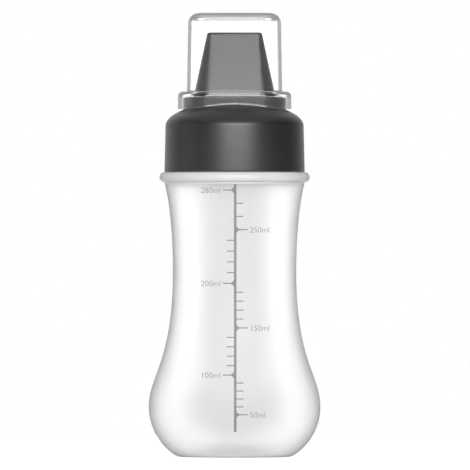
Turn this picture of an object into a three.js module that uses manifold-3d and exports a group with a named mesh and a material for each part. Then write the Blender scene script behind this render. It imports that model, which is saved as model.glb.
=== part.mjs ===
// A squeeze bottle for sauces: a soft blown body with a waist, a screw cap whose wide wedge nozzle
// lays five lines of sauce at once, the sealing ring between them, and a clear cover over the nozzle.
//
// Millimetres, +Z up. The origin is the middle of the foot, on the table. The wide faces of the
// nozzle look along -Y and +Y, and its row of outlets runs along X.

import * as THREE from "three";
import { mergeVertices, toCreasedNormals } from "three/addons/utils/BufferGeometryUtils.js";
import Module from "manifold-3d";

const wasm = await Module();
wasm.setup();

// Bottle body: radii are to the outside of the wall, heights are above the table
const BODY_WALL = 1.0;
const FOOT_RADIUS = 22.4;
const FOOT_RING_WIDTH = 3.4;
const PUNT_DEPTH = 3.7;
const HEEL_RADIUS = 25.2;
const HEEL_HEIGHT = 1.0;
const HEEL_ANGLE = THREE.MathUtils.degToRad(31);
const BELLY_RADIUS = 35.8;
const BELLY_HEIGHT = 20.8;
const WAIST_RADIUS = 25.7;
const WAIST_HEIGHT = 78;
const SHOULDER_HEIGHT = 114.4;
const SHOULDER_FLARE = THREE.MathUtils.degToRad(15);

// Reach of the outline's curves from the point where each one starts or ends
const HEEL_REACH = 4.4;
const BELLY_REACH_DOWN = 10.4;
const BELLY_REACH_UP = 13.6;
const WAIST_REACH_DOWN = 39;
const WAIST_REACH_UP = 2;
const SHOULDER_REACH = 13.2;

// Round bead under the cap, and the neck that carries the thread
const BEAD_THICKNESS = 4.3;
const BEAD_PROUD = 2.05;
const NECK_RADIUS = 25.4;
const NECK_WALL = 1.3;
const NECK_HEIGHT = 18.7;
const NECK_FILLET = 0.8;
const LIP_ROUND = 0.45;
const THROAT_DROP = 5;

// Screw thread, single start and right-handed, the same ridge on the neck and inside the cap
const THREAD_LEAD = 6;
const THREAD_DEPTH = 1.15;
const THREAD_ROOT_WIDTH = 2.4;
const THREAD_CREST_WIDTH = 1.0;
const THREAD_CREST_GAP = 0.35;
const THREAD_FLANK_GAP = 0.4;
const THREAD_ABOVE_BEAD = 3.4;
const NECK_THREAD_TURNS = 1.75;
const CAP_THREAD_START_TURN = 0.3;
const CAP_THREAD_TURNS = 1.5;
const THREAD_RUN_OUT_TURN = 0.07;

// Flat sealing ring between the lip and the cap
const SEAL_THICKNESS = 1.6;
const SEAL_LIP_OVERLAP = 0.45;
const SEAL_CAP_GAP = 0.35;

// Where two closed pieces touch they are drawn this far apart
const SEAT_GAP = 0.3;

// Screw cap: wall, dome, and the plinth that the clear cover seats on
const CAP_WALL = 1.9;
const CAP_FLARE = 0.45;
const CAP_EDGE_ROUND = 0.4;
const DOME_BELOW_SEAT = 1.7;
const DOME_HEIGHT = 10.1;
const SEAT_WIDTH = 3.3;
const PLINTH_RISE = 1.8;
const PLINTH_END_RADIUS = 11.5;
const PLINTH_WALL = 1.8;
const PLINTH_EDGE_ROUND = 0.5;

// Wedge nozzle: each level is a slot shape, two half circles joined by straight sides
const SLOT_HALF_STRAIGHT = 10;
const NOZZLE_HEIGHT = 27.1;
const NOZZLE_BASE_END_RADIUS = 7.05;
const TIP_HALF_STRAIGHT = 9.4;
const TIP_END_RADIUS = 2.2;
const TIP_EDGE_ROUND = 1.1;
const TIP_THICKNESS = 1.6;
const NOZZLE_BASE_WALL = 1.5;
const NOZZLE_TIP_WALL = 0.95;
const OUTLET_COUNT = 5;
const OUTLET_DIAMETER = 2.0;

// Clear cover: a hood over the nozzle on a stepped skirt around the plinth
const HOOD_WALL = 1.6;
const HOOD_AIR = 1.2;
const HOOD_DRAFT = 0.5;
const HOOD_HEADROOM = 6.3;
const HOOD_TOP_THICKNESS = 1.8;
const HOOD_TOP_ROUND = 4.4;
const LEDGE_THICKNESS = 2.15;
const LEDGE_ROUND = 2.0;
const COVER_FIT = 0.35;
const COVER_SKIRT_WALL = 1.8;
const COVER_SKIRT_DRAFT = 0.2;
const COVER_SKIRT_DEPTH = 5.1;
const COVER_DOME_GAP = 0.4;

// Fineness of the facets
const ROUND_SEGMENTS = 52;
const END_SEGMENTS = 12;
const ROUND_STEPS = 5;

// Levels and radii that follow from the sizes above
const beadTop = SHOULDER_HEIGHT + BEAD_THICKNESS;
const lipTop = beadTop + NECK_HEIGHT;
const boreRadius = NECK_RADIUS - NECK_WALL;
const capInnerRadius = NECK_RADIUS + THREAD_DEPTH + THREAD_CREST_GAP;
const capRadius = capInnerRadius + CAP_WALL;
const capFootRadius = capRadius + CAP_FLARE;
const shoulderRadius = capFootRadius;
const beadRadius = BEAD_THICKNESS / 2;
const beadCentreRadius = shoulderRadius + BEAD_PROUD - beadRadius;
const capFoot = beadTop + SEAT_GAP;
const sealFoot = lipTop + SEAT_GAP;

// Levels in the cap's own frame, which has its foot at zero
const seatLevel = sealFoot + SEAL_THICKNESS + SEAT_GAP - capFoot;
const domeStart = seatLevel - DOME_BELOW_SEAT;
const plinthTop = domeStart + DOME_HEIGHT + PLINTH_RISE;
const nozzleTop = plinthTop + NOZZLE_HEIGHT;

const FULL_TURN = 2 * Math.PI;

// A closed three.js geometry as a solid for cutting and joining
function solidOf(geometry) {
  const bare = geometry.clone();
  bare.deleteAttribute("normal");
  bare.deleteAttribute("uv");
  const merged = mergeVertices(bare, 1e-4);
  const corners = merged.index.array;
  const kept = [];
  for (let i = 0; i < corners.length; i += 3) {
    const [a, b, c] = [corners[i], corners[i + 1], corners[i + 2]];
    if (a !== b && b !== c && c !== a) kept.push(a, b, c);
  }
  return new wasm.Manifold(
    new wasm.Mesh({
      numProp: 3,
      vertProperties: merged.attributes.position.array,
      triVerts: new Uint32Array(kept),
    }),
  );
}

// The solid as a geometry again, with smooth shading inside each face and crisp edges between them
function geometryOf(solid) {
  const mesh = solid.getMesh();
  const stride = mesh.numProp;
  const positions = new Float32Array(mesh.numVert * 3);
  for (let i = 0; i < mesh.numVert; i++) {
    positions.set(mesh.vertProperties.subarray(i * stride, i * stride + 3), i * 3);
  }
  const geometry = new THREE.BufferGeometry();
  geometry.setAttribute("position", new THREE.BufferAttribute(positions, 3));
  geometry.setIndex(new THREE.BufferAttribute(mesh.triVerts, 1));
  const creaseAngle = THREE.MathUtils.degToRad(32);
  return toCreasedNormals(geometry, creaseAngle);
}

// Joins a list of solids into one
function joined(solids) {
  return solids.reduce((whole, solid) => whole.add(solid));
}

// Turns a profile of (radius, height) points, from axis to axis, about Z
function revolved(profile) {
  const lathe = new THREE.LatheGeometry(profile, ROUND_SEGMENTS);
  lathe.rotateX(Math.PI / 2);
  return solidOf(lathe);
}

// Skins a row of closed rings of equal length, bottom to top and anticlockwise from above
function lofted(rings) {
  const count = rings[0].length;
  const positions = rings.flat().flatMap((point) => [point.x, point.y, point.z]);
  const index = [];
  for (let level = 0; level + 1 < rings.length; level++) {
    for (let i = 0; i < count; i++) {
      const here = level * count + i;
      const next = level * count + ((i + 1) % count);
      index.push(here, next, next + count, here, next + count, here + count);
    }
  }
  const top = (rings.length - 1) * count;
  for (let i = 1; i + 1 < count; i++) {
    index.push(0, i + 1, i);
    index.push(top, top + i, top + i + 1);
  }
  const geometry = new THREE.BufferGeometry();
  geometry.setAttribute("position", new THREE.Float32BufferAttribute(positions, 3));
  geometry.setIndex(index);
  return solidOf(geometry);
}

// One level of a slot shape: half circles at the ends of two straight sides along X
function slotRing(halfStraight, endRadius, z) {
  const ring = [];
  for (const side of [1, -1]) {
    for (let i = 0; i <= END_SEGMENTS; i++) {
      const angle = -Math.PI / 2 + (Math.PI * i) / END_SEGMENTS;
      const x = halfStraight + endRadius * Math.cos(angle);
      ring.push(new THREE.Vector3(side * x, side * endRadius * Math.sin(angle), z));
    }
  }
  return ring;
}

// A slot-shaped body that tapers from foot to head and may round off at its top edge
function slotBody(foot, head, edgeRound = 0) {
  const at = (z, inset) => {
    const share = (z - foot.z) / (head.z - foot.z);
    const halfStraight = THREE.MathUtils.lerp(foot.halfStraight, head.halfStraight, share);
    const endRadius = THREE.MathUtils.lerp(foot.endRadius, head.endRadius, share);
    return slotRing(halfStraight, endRadius - inset, z);
  };
  const rings = [at(foot.z, 0)];
  if (edgeRound === 0) {
    rings.push(at(head.z, 0));
  } else {
    for (let i = 0; i <= ROUND_STEPS; i++) {
      const angle = ((Math.PI / 2) * i) / ROUND_STEPS;
      const z = head.z - edgeRound * (1 - Math.sin(angle));
      rings.push(at(z, edgeRound * (1 - Math.cos(angle))));
    }
  }
  return lofted(rings);
}

// Points of a path, with the given number of steps in each curved stretch
function pathPoints(steps, draw) {
  const path = new THREE.Path();
  draw(path);
  return path.getPoints(steps);
}

// The outline moved sideways by a wall's thickness, towards the left of its direction of travel
function insetOutline(points, wall) {
  return points.map((point, i) => {
    const before = points[Math.max(i - 1, 0)];
    const after = points[Math.min(i + 1, points.length - 1)];
    const along = after.clone().sub(before).normalize();
    const x = point.x === 0 ? 0 : point.x - along.y * wall;
    return new THREE.Vector2(x, point.y + along.x * wall);
  });
}

// A helical ridge of trapezoid section. It grows from rootRadius towards crestRadius, sinks back
// into its wall at both ends, and overlaps that wall a little so that the two join.
function threadRidge(rootRadius, crestRadius, startZ, startTurn, turns) {
  const steps = Math.round(turns * ROUND_SEGMENTS);
  const outward = Math.sign(crestRadius - rootRadius);
  const bite = 0.3 * outward;
  const sections = [];
  for (let i = 0; i <= steps; i++) {
    const turn = (turns * i) / steps;
    const angle = (startTurn + turn) * FULL_TURN;
    const fromEnd = Math.min(turn, turns - turn) / THREAD_RUN_OUT_TURN;
    const height = Math.sin((Math.PI / 2) * Math.min(fromEnd, 1));
    const crest = THREE.MathUtils.lerp(rootRadius, crestRadius, Math.max(height, 0.02));
    const z = startZ + THREAD_LEAD * (startTurn + turn);
    const corner = (radius, dz) =>
      new THREE.Vector3(radius * Math.cos(angle), radius * Math.sin(angle), z + dz);
    const section = [
      corner(rootRadius - bite, -THREAD_ROOT_WIDTH / 2),
      corner(crest, -THREAD_CREST_WIDTH / 2),
      corner(crest, THREAD_CREST_WIDTH / 2),
      corner(rootRadius - bite, THREAD_ROOT_WIDTH / 2),
    ];
    sections.push(outward > 0 ? section.reverse() : section);
  }
  return lofted(sections);
}

// Outside of the body from the middle of the punt to the shoulder, as (radius, height) points.
// The number of steps is for each of the three long curves up the side, and half of it for the foot.
function bodyOutline(steps) {
  const puntRadius = FOOT_RADIUS - FOOT_RING_WIDTH;
  const heelTangentRadius = HEEL_RADIUS - HEEL_HEIGHT / Math.tan(HEEL_ANGLE);
  const base = pathPoints(steps / 2, (path) => {
    path.moveTo(0, PUNT_DEPTH);
    path.quadraticCurveTo(puntRadius * 0.6, PUNT_DEPTH, puntRadius, 0);
    path.lineTo(FOOT_RADIUS, 0);
  });
  const heel = pathPoints(2, (path) => {
    path.moveTo(FOOT_RADIUS, 0);
    path.quadraticCurveTo(heelTangentRadius, 0, HEEL_RADIUS, HEEL_HEIGHT);
  });
  const side = pathPoints(steps, (path) => {
    path.moveTo(HEEL_RADIUS, HEEL_HEIGHT);
    path.bezierCurveTo(
      HEEL_RADIUS + HEEL_REACH * Math.cos(HEEL_ANGLE),
      HEEL_HEIGHT + HEEL_REACH * Math.sin(HEEL_ANGLE),
      BELLY_RADIUS,
      BELLY_HEIGHT - BELLY_REACH_DOWN,
      BELLY_RADIUS,
      BELLY_HEIGHT,
    );
    path.bezierCurveTo(
      BELLY_RADIUS,
      BELLY_HEIGHT + BELLY_REACH_UP,
      WAIST_RADIUS,
      WAIST_HEIGHT - WAIST_REACH_DOWN,
      WAIST_RADIUS,
      WAIST_HEIGHT,
    );
    path.bezierCurveTo(
      WAIST_RADIUS,
      WAIST_HEIGHT + WAIST_REACH_UP,
      shoulderRadius - SHOULDER_REACH * Math.tan(SHOULDER_FLARE),
      SHOULDER_HEIGHT - SHOULDER_REACH,
      shoulderRadius,
      SHOULDER_HEIGHT,
    );
  });
  return [...base, ...heel.slice(1), ...side.slice(1)];
}

// Bead, neck and lip on the outside, then the bore and throat back down to the body's inner wall
function neckOutline(innerShoulder) {
  const bead = pathPoints(3, (path) => {
    const beadLevel = SHOULDER_HEIGHT + beadRadius;
    path.absarc(beadCentreRadius, beadLevel, beadRadius, -0.42 * Math.PI, 0.5 * Math.PI);
  });
  const neck = pathPoints(2, (path) => {
    path.moveTo(NECK_RADIUS + NECK_FILLET, beadTop);
    path.quadraticCurveTo(NECK_RADIUS, beadTop, NECK_RADIUS, beadTop + NECK_FILLET);
    path.lineTo(NECK_RADIUS, lipTop - LIP_ROUND);
    path.quadraticCurveTo(NECK_RADIUS, lipTop, NECK_RADIUS - LIP_ROUND, lipTop);
    path.lineTo(boreRadius + LIP_ROUND, lipTop);
    path.quadraticCurveTo(boreRadius, lipTop, boreRadius, lipTop - LIP_ROUND);
  });
  const throat = pathPoints(3, (path) => {
    const throatTop = innerShoulder.y + THROAT_DROP;
    path.moveTo(boreRadius, throatTop);
    path.bezierCurveTo(
      boreRadius,
      throatTop - THROAT_DROP / 2,
      innerShoulder.x,
      innerShoulder.y + THROAT_DROP / 2,
      innerShoulder.x,
      innerShoulder.y,
    );
  });
  return [...bead, ...neck, ...throat];
}

// Blown body with its foot, belly, waist, bead, threaded neck and open mouth
function bottleBody() {
  const outside = bodyOutline(8);
  const inside = insetOutline(bodyOutline(4), BODY_WALL);
  const innerShoulder = inside[inside.length - 1];
  const profile = [...outside, ...neckOutline(innerShoulder), ...inside.reverse().slice(1)];
  const thread = threadRidge(
    NECK_RADIUS,
    NECK_RADIUS + THREAD_DEPTH,
    beadTop + THREAD_ABOVE_BEAD,
    0,
    NECK_THREAD_TURNS,
  );
  return geometryOf(revolved(profile).add(thread));
}

// Flat ring that the cap presses on the lip
function sealingRing() {
  const inner = boreRadius - SEAL_LIP_OVERLAP;
  const outer = capInnerRadius - SEAL_CAP_GAP;
  const corners = [
    [inner, 0],
    [outer, 0],
    [outer, SEAL_THICKNESS],
    [inner, SEAL_THICKNESS],
    [inner, 0],
  ];
  return geometryOf(revolved(corners.map(([r, z]) => new THREE.Vector2(r, z))));
}

// Half of the dome's elliptical outline, from its start up to the axis, grown or shrunk by a gap
function domeOutline(gap) {
  return pathPoints(4, (path) => {
    path.absellipse(0, domeStart, capRadius + gap, DOME_HEIGHT + gap, 0, Math.PI / 2);
  });
}

// Outside of the cap: flared skirt and dome
function capShell() {
  const edge = pathPoints(2, (path) => {
    path.moveTo(0, 0);
    path.lineTo(capFootRadius - CAP_EDGE_ROUND, 0);
    path.quadraticCurveTo(capFootRadius, 0, capFootRadius, CAP_EDGE_ROUND);
  });
  const dome = domeOutline(0);
  dome[dome.length - 1].x = 0;
  return revolved([...edge, ...dome]);
}

// Hollow under the cap: threaded bore, seat for the sealing ring, and the space under the dome
function capHollow() {
  const seatInnerRadius = capInnerRadius - SEAT_WIDTH;
  const dome = domeOutline(-CAP_WALL).filter((point) => point.x < seatInnerRadius);
  dome[dome.length - 1].x = 0;
  const ratio = seatInnerRadius / (capRadius - CAP_WALL);
  const seatRoof = domeStart + (DOME_HEIGHT - CAP_WALL) * Math.sqrt(1 - ratio * ratio);
  const corners = [
    [0, -CAP_WALL],
    [capInnerRadius, -CAP_WALL],
    [capInnerRadius, seatLevel],
    [seatInnerRadius, seatLevel],
    [seatInnerRadius, seatRoof],
  ];
  return revolved([...corners.map(([r, z]) => new THREE.Vector2(r, z)), ...dome]);
}

// Nozzle's two ends in the cap's frame: sunk into the plinth at the foot, and thinned for the hollow
function nozzleLevels(sink, baseWall, tipWall) {
  return [
    {
      z: plinthTop - sink,
      halfStraight: SLOT_HALF_STRAIGHT,
      endRadius: NOZZLE_BASE_END_RADIUS - baseWall,
    },
    {
      z: baseWall === 0 ? nozzleTop : nozzleTop - TIP_THICKNESS,
      halfStraight: TIP_HALF_STRAIGHT,
      endRadius: TIP_END_RADIUS - tipWall,
    },
  ];
}

// Row of round outlets through the nozzle's tip
function outlets() {
  const pitch = (2 * TIP_HALF_STRAIGHT) / (OUTLET_COUNT - 1);
  const length = 2 * (TIP_THICKNESS + OUTLET_DIAMETER);
  return Array.from({ length: OUTLET_COUNT }, (_, i) => {
    const drill = new THREE.CylinderGeometry(OUTLET_DIAMETER / 2, OUTLET_DIAMETER / 2, length, 16);
    drill.rotateX(Math.PI / 2);
    drill.translate(pitch * i - TIP_HALF_STRAIGHT, 0, nozzleTop);
    return solidOf(drill);
  });
}

// Screw cap in one moulding: skirt, dome, plinth, wedge nozzle and inner thread
function dispensingCap() {
  const slot = (z, endRadius) => ({ z, halfStraight: SLOT_HALF_STRAIGHT, endRadius });
  const [nozzleFoot, nozzleHead] = nozzleLevels(0.2, 0, 0);
  const outside = joined([
    capShell(),
    slotBody(
      slot(domeStart, PLINTH_END_RADIUS),
      slot(plinthTop, PLINTH_END_RADIUS),
      PLINTH_EDGE_ROUND,
    ),
    slotBody(nozzleFoot, nozzleHead, TIP_EDGE_ROUND),
  ]);

  const plinthHollowRadius = PLINTH_END_RADIUS - PLINTH_WALL;
  const hollowSink = PLINTH_WALL + 1;
  const [hollowFoot, hollowHead] = nozzleLevels(hollowSink, NOZZLE_BASE_WALL, NOZZLE_TIP_WALL);
  const inside = joined([
    capHollow(),
    slotBody(
      slot(domeStart, plinthHollowRadius),
      slot(plinthTop - PLINTH_WALL, plinthHollowRadius),
    ),
    slotBody(hollowFoot, hollowHead),
    ...outlets(),
  ]);

  // The cap's ridge runs just under the neck's, so that screwing down pulls the two together
  const sharedWidth =
    THREAD_ROOT_WIDTH -
    ((THREAD_DEPTH + THREAD_CREST_GAP) / THREAD_DEPTH) *
      ((THREAD_ROOT_WIDTH - THREAD_CREST_WIDTH) / 2);
  const thread = threadRidge(
    capInnerRadius,
    capInnerRadius - THREAD_DEPTH,
    beadTop + THREAD_ABOVE_BEAD - sharedWidth - THREAD_FLANK_GAP - capFoot,
    CAP_THREAD_START_TURN,
    CAP_THREAD_TURNS,
  );
  return geometryOf(outside.subtract(inside).add(thread));
}

// Clear cover in one moulding, in a frame with its ledge's underside at zero
function dustCover() {
  const hoodRadius = NOZZLE_BASE_END_RADIUS + HOOD_AIR + HOOD_WALL;
  const hoodTop = NOZZLE_HEIGHT - SEAT_GAP + HOOD_HEADROOM + HOOD_TOP_THICKNESS;
  const skirtInner = PLINTH_END_RADIUS + COVER_FIT;
  const skirtOuter = skirtInner + COVER_SKIRT_WALL;
  const slot = (z, endRadius) => ({ z, halfStraight: SLOT_HALF_STRAIGHT, endRadius });

  const outside = joined([
    slotBody(slot(0, hoodRadius), slot(hoodTop, hoodRadius - HOOD_DRAFT), HOOD_TOP_ROUND),
    slotBody(
      slot(-COVER_SKIRT_DEPTH, skirtOuter),
      slot(LEDGE_THICKNESS, skirtOuter - COVER_SKIRT_DRAFT),
      LEDGE_ROUND,
    ),
  ]);
  const inside = joined([
    slotBody(
      slot(-1, hoodRadius - HOOD_WALL),
      slot(hoodTop - HOOD_TOP_THICKNESS, hoodRadius - HOOD_DRAFT - HOOD_WALL),
      HOOD_TOP_ROUND - HOOD_WALL,
    ),
    slotBody(slot(-COVER_SKIRT_DEPTH - 1, skirtInner), slot(0, skirtInner)),
  ]);

  // The dome cuts the skirt's lower edge to an arch that follows it at an even gap
  const dome = domeOutline(COVER_DOME_GAP);
  dome[dome.length - 1].x = 0;
  const domeCut = revolved([new THREE.Vector2(0, 0), new THREE.Vector2(dome[0].x, 0), ...dome]);
  const fromCapFrame = -(plinthTop + SEAT_GAP);
  return geometryOf(outside.subtract(inside).subtract(domeCut.translate([0, 0, fromCapFrame])));
}

// A named mesh with its material, standing at a height in its parent's frame
function piece(name, geometry, z, look) {
  const mesh = new THREE.Mesh(geometry, new THREE.MeshStandardMaterial({ metalness: 0, ...look }));
  mesh.name = name;
  mesh.position.z = z;
  return mesh;
}

const milkyPlastic = { color: 0xf0f1f2, roughness: 0.35, transparent: true, opacity: 0.45 };
const clearPlastic = { color: 0xffffff, roughness: 0.06, transparent: true, opacity: 0.2 };
const blackPlastic = { color: 0x4b4b4d, roughness: 0.5 };
const sealRubber = { color: 0xe4e4e0, roughness: 0.7 };

const cover = new THREE.Group();
cover.position.z = plinthTop + SEAT_GAP;
cover.add(piece("dust_cover", dustCover(), 0, clearPlastic));

const closure = new THREE.Group();
closure.position.z = capFoot;
closure.add(piece("dispensing_cap", dispensingCap(), 0, blackPlastic));
closure.add(piece("sealing_ring", sealingRing(), sealFoot - capFoot, sealRubber));
closure.add(cover);

const squeezeBottle = new THREE.Group();
squeezeBottle.add(piece("bottle_body", bottleBody(), 0, milkyPlastic));
squeezeBottle.add(closure);

export default squeezeBottle;
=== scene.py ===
"""Dresses the squeeze bottle for the studio: a milky blown body with its printed measuring scale,
a dark screw cap with a wedge nozzle, the sealing ring between them, and a clear lift-off cover."""

import logging
import math
from dataclasses import dataclass, field
from enum import Enum
from typing import Callable, Iterable, Mapping, Optional, Sequence, Union

import bmesh
import bpy
from bmesh.types import BMEdge, BMVert
from mathutils import Matrix, Vector
from mathutils.bvhtree import BVHTree
from mathutils.geometry import interpolate_bezier


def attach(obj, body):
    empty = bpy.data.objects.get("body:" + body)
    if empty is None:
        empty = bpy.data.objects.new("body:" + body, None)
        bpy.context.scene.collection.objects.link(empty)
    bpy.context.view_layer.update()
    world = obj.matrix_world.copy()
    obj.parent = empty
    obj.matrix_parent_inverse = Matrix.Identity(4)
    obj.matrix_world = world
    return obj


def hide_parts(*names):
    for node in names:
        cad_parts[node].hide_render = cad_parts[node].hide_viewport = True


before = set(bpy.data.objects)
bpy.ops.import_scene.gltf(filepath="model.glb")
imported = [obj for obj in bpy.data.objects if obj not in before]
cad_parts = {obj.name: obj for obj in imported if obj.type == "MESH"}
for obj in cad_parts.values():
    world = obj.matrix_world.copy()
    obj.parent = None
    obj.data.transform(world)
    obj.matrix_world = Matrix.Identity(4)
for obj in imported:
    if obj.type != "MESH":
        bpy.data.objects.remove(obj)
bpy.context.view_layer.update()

log = logging.getLogger("squeeze_bottle")

MM = 0.001
WELD = 1e-4
OUTER_SKIN = "outer_skin"
# Length of a handle, as a share of the radius, that makes a cubic curve a quarter circle.
CIRCLE_HANDLE = 0.5523

Point = tuple[float, float]
Span = tuple[float, float]
Triple = tuple[float, float, float]
Colour = Triple
Number = Union[int, float]


class Body(Enum):
    """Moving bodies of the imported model, by name."""

    BOTTLE = "bottle"
    SEAL = "seal"
    CAP = "cap"
    COVER = "cover"


class Slot(Enum):
    """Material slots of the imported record, by name."""

    MILKY = "milky_plastic"
    SEAL = "seal_rubber"
    DARK = "dark_plastic"
    CLEAR = "clear_plastic"


class Side(Enum):
    """Side of the measuring scale's line that a tick points to."""

    LEFT = -1
    RIGHT = 1


# Shader helpers


class Signal:
    """A value that varies over a surface: the output socket of a shader node, open to arithmetic."""

    def __init__(self, recipe: "Recipe", socket: bpy.types.NodeSocket) -> None:
        """Wraps a socket.

        Args:
            recipe: the node tree the socket belongs to.
            socket: the output socket.
        """
        self.recipe = recipe
        self.socket = socket

    def _math(self, operation: str, first: "Value", second: "Value") -> "Signal":
        """Adds one Math node.

        Args:
            operation: the node's operation.
            first: its first value.
            second: its second value.

        Returns:
            The node's result.
        """
        made = self.recipe.node("ShaderNodeMath", {"operation": operation}, {0: first, 1: second})
        return Signal(self.recipe, made.outputs[0])

    def __add__(self, other: "Value") -> "Signal":
        """Sum."""
        return self._math("ADD", self, other)

    __radd__ = __add__

    def __sub__(self, other: "Value") -> "Signal":
        """Difference."""
        return self._math("SUBTRACT", self, other)

    def __rsub__(self, other: "Value") -> "Signal":
        """Difference, taken from a number."""
        return self._math("SUBTRACT", other, self)

    def __mul__(self, other: "Value") -> "Signal":
        """Product."""
        return self._math("MULTIPLY", self, other)

    __rmul__ = __mul__

    def __pow__(self, other: "Value") -> "Signal":
        """Power."""
        return self._math("POWER", self, other)

    def at_least(self, other: "Value") -> "Signal":
        """The larger of the two."""
        return self._math("MAXIMUM", self, other)

    def step(self, low: "Value", high: "Value") -> "Signal":
        """Rises smoothly from 0 to 1.

        Args:
            low: where it starts to rise.
            high: where it reaches 1.

        Returns:
            The eased step.
        """
        return self.recipe.signal(
            "ShaderNodeMapRange",
            0,
            {"interpolation_type": "SMOOTHSTEP"},
            {"Value": self, "From Min": low, "From Max": high},
        )


Value = Union[Signal, Number, Sequence[float]]


@dataclass(frozen=True)
class Grain:
    """Smooth noise: lumps in a metre, how much closer they lie along Z, and octaves of finer noise."""

    scale: float
    upright: float = 1.0
    detail: float = 2.0


class Recipe:
    """Node tree of one material or of the world, built by short calls."""

    def __init__(self, tree: bpy.types.NodeTree) -> None:
        """Starts from an empty tree.

        Args:
            tree: the tree to fill.
        """
        self.tree = tree
        self.tree.nodes.clear()

    def node(
        self,
        kind: str,
        settings: Optional[Mapping[str, object]] = None,
        inputs: Optional[Mapping[Union[str, int], Value]] = None,
    ) -> bpy.types.Node:
        """Adds a node, its settings first and then its sockets.

        Args:
            kind: the node's type name.
            settings: attributes of the node.
            inputs: a number, colour or signal for each named or numbered input.

        Returns:
            The node.
        """
        made = self.tree.nodes.new(kind)
        for name, value in (settings or {}).items():
            setattr(made, name, value)
        for name, value in (inputs or {}).items():
            if isinstance(value, Signal):
                self.tree.links.new(value.socket, made.inputs[name])
            else:
                made.inputs[name].default_value = value
        return made

    def signal(
        self,
        kind: str,
        output: Union[str, int] = 0,
        settings: Optional[Mapping[str, object]] = None,
        inputs: Optional[Mapping[Union[str, int], Value]] = None,
    ) -> Signal:
        """Adds a node and takes one of its outputs.

        Args:
            kind: the node's type name.
            output: name or number of the output.
            settings: attributes of the node.
            inputs: values of its sockets.

        Returns:
            The chosen output.
        """
        return Signal(self, self.node(kind, settings, inputs).outputs[output])

    def noise(self, grain: Grain) -> Signal:
        """Smooth noise on Object coordinates.

        Args:
            grain: its size.

        Returns:
            Noise between 0 and 1, around 0.5.
        """
        place = self.signal("ShaderNodeTexCoord", "Object")
        stretch = (1.0, 1.0, grain.upright)
        mapped = self.signal("ShaderNodeMapping", 0, None, {"Vector": place, "Scale": stretch})
        inputs = {"Vector": mapped, "Scale": grain.scale, "Detail": grain.detail, "Roughness": 0.5}
        return self.signal("ShaderNodeTexNoise", "Fac", None, inputs)

    def blend(self, factor: Value, low: Colour, high: Colour) -> Signal:
        """Colour between two others.

        Args:
            factor: 0 for the first colour and 1 for the second.
            low: the first colour.
            high: the second colour.

        Returns:
            The mixed colour.
        """
        return self.signal(
            "ShaderNodeMix",
            2,
            {"data_type": "RGBA"},
            {0: factor, 6: (*low, 1.0), 7: (*high, 1.0)},
        )

    def bump(self, height: Signal, depth: float, below: Optional[Signal] = None) -> Signal:
        """Surface relief.

        Args:
            height: the relief, 0 to 1.
            depth: its real depth in metres.
            below: relief that this one lies on.

        Returns:
            The bumped normal.
        """
        inputs: dict[Union[str, int], Value] = {"Height": height, "Distance": depth, "Strength": 1.0}
        if below is not None:
            inputs["Normal"] = below
        return self.signal("ShaderNodeBump", 0, None, inputs)

    def plastic(self, inputs: Mapping[Union[str, int], Value]) -> Signal:
        """Principled surface with the given sockets."""
        return self.signal("ShaderNodeBsdfPrincipled", 0, None, inputs)

    def facing(self) -> Signal:
        """How far the surface turns away from the eye: 0 face-on, 1 edge-on."""
        return self.signal("ShaderNodeLayerWeight", "Facing", None, {"Blend": 0.5})

    def outer_skin(self) -> Signal:
        """1 on the outside of a wall and 0 on its inside."""
        return self.signal("ShaderNodeAttribute", "Fac", {"attribute_name": OUTER_SKIN})

    def rays(self, *kinds: str) -> Signal:
        """1 for a ray of any of the named kinds and 0 for any other."""
        path = self.node("ShaderNodeLightPath")
        found, *others = [Signal(self, path.outputs[f"Is {kind} Ray"]) for kind in kinds]
        for other in others:
            found = found.at_least(other)
        return found

    def place(self, axis: str) -> Signal:
        """Distance from the origin along one axis, in metres."""
        place = self.signal("ShaderNodeTexCoord", "Object")
        return self.signal("ShaderNodeSeparateXYZ", axis, None, {"Vector": place})

    def past(self, axis: str, start: float, blur: float) -> Signal:
        """0 before a place along an axis and 1 past it, with a soft change between them."""
        return self.place(axis).step(start - blur, start + blur)

    def band(self, axis: str, span: Span, blur: float) -> Signal:
        """Picks out the surface between two places along an axis.

        Args:
            axis: X, Y or Z.
            span: where the band starts and ends, in metres.
            blur: how softly its edges fade.

        Returns:
            1 inside the band and 0 elsewhere.
        """
        low, high = span
        return self.past(axis, low, blur) * (1 - self.past(axis, high, blur))

    def mix(self, factor: Value, first: Signal, second: Signal) -> Signal:
        """Shader between two others.

        Args:
            factor: 0 for the first and 1 for the second.
            first: the first shader.
            second: the second shader.

        Returns:
            The mixed shader.
        """
        return self.signal("ShaderNodeMixShader", 0, None, {0: factor, 1: first, 2: second})

    def surface(self, shader: Signal) -> None:
        """Sends a shader to a material's surface."""
        self.node("ShaderNodeOutputMaterial", None, {"Surface": shader})


def new_material(name: str) -> tuple[bpy.types.Material, Recipe]:
    """Makes an empty material.

    Args:
        name: its name.

    Returns:
        The material and its recipe.
    """
    material = bpy.data.materials.new(name)
    material.use_nodes = True
    return material, Recipe(material.node_tree)


# Finishes


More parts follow.
